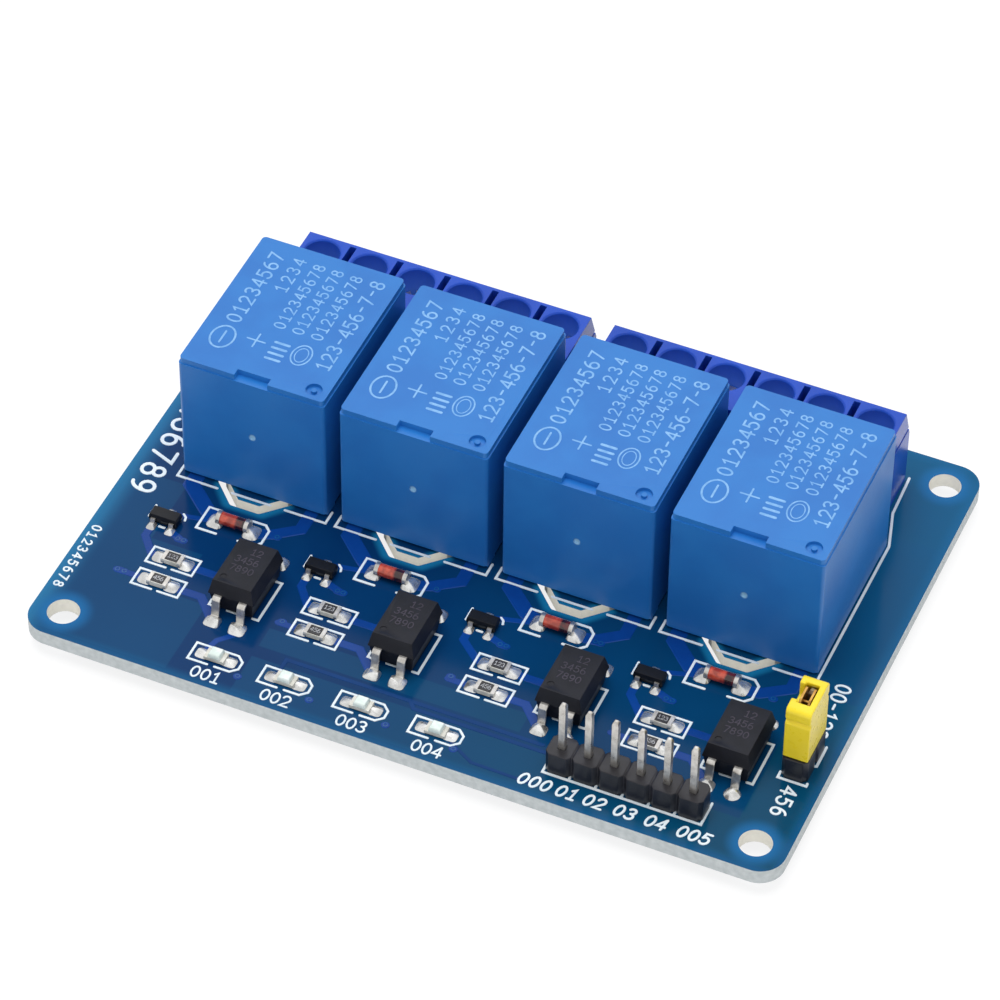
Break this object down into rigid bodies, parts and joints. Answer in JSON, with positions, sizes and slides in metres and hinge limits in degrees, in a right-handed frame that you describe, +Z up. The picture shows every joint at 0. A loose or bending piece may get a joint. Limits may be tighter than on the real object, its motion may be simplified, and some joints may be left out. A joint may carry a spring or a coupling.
{
  "type": "relay module board",
  "caption": "Blue circuit board that switches mains loads: sealed relays in a row, screw terminals behind them, optocoupler inputs and a pin header with jumper in front.",
  "frame": {"origin": "middle of the mounting-hole pattern, on the underside of the board", "axes": "+X along the long side, +Y towards the screw terminals, +Z up from the board to the relays"},
  "size_m": [0.075, 0.055, 0.0181],
  "materials": {
    "solder_mask": "glossy blue solder mask on glass-fibre laminate",
    "relay_plastic": "satin moulded blue",
    "terminal_plastic": "glossy moulded deep blue",
    "dark_plastic": "matt black moulding compound",
    "jumper_plastic": "glossy yellow",
    "tinned_metal": "tin plated",
    "plated_steel": "nickel-plated steel",
    "brass": "bare brass sheet",
    "solder": "bright solder",
    "diode_glass": "orange-red glass",
    "lamp_resin": "clear milky resin",
    "ceramic": "white ceramic"
  },
  "bodies": {
    "root": {"circuit_board": "solder_mask", "relay_cover_1": "relay_plastic", "relay_cover_2": "relay_plastic", "relay_cover_3": "relay_plastic", "relay_cover_4": "relay_plastic", "relay_base_1": "dark_plastic", "relay_base_2": "dark_plastic", "relay_base_3": "dark_plastic", "relay_base_4": "dark_plastic", "relay_pins_1": "tinned_metal", "relay_pins_2": "tinned_metal", "relay_pins_3": "tinned_metal", "relay_pins_4": "tinned_metal", "terminal_housing_left": "terminal_plastic", "terminal_housing_right": "terminal_plastic", "terminal_screws_left": "plated_steel", "terminal_screws_right": "plated_steel", "terminal_cages_left": "brass", "terminal_cages_right": "brass", "wire_guards_left": "plated_steel", "wire_guards_right": "plated_steel", "optocoupler_body_1": "dark_plastic", "optocoupler_body_2": "dark_plastic", "optocoupler_body_3": "dark_plastic", "optocoupler_body_4": "dark_plastic", "optocoupler_leads_1": "tinned_metal", "optocoupler_leads_2": "tinned_metal", "optocoupler_leads_3": "tinned_metal", "optocoupler_leads_4": "tinned_metal", "transistor_body_1": "dark_plastic", "transistor_body_2": "dark_plastic", "transistor_body_3": "dark_plastic", "transistor_body_4": "dark_plastic", "transistor_leads_1": "tinned_metal", "transistor_leads_2": "tinned_metal", "transistor_leads_3": "tinned_metal", "transistor_leads_4": "tinned_metal", "diode_glass_1": "diode_glass", "diode_glass_2": "diode_glass", "diode_glass_3": "diode_glass", "diode_glass_4": "diode_glass", "lamp_lens_1": "lamp_resin", "lamp_lens_2": "lamp_resin", "lamp_lens_3": "lamp_resin", "lamp_lens_4": "lamp_resin", "diode_caps": "tinned_metal", "lamp_bases": "ceramic", "resistor_bodies": "ceramic", "resistor_caps": "tinned_metal", "input_header_strip": "dark_plastic", "input_header_pins": "tinned_metal", "jumper_header_strip": "dark_plastic", "jumper_header_pins": "tinned_metal", "jumper_cap": "jumper_plastic", "jumper_contact": "brass", "solder_joints_top": "solder", "solder_joints_bottom": "solder"}
  },
  "joints": []
}
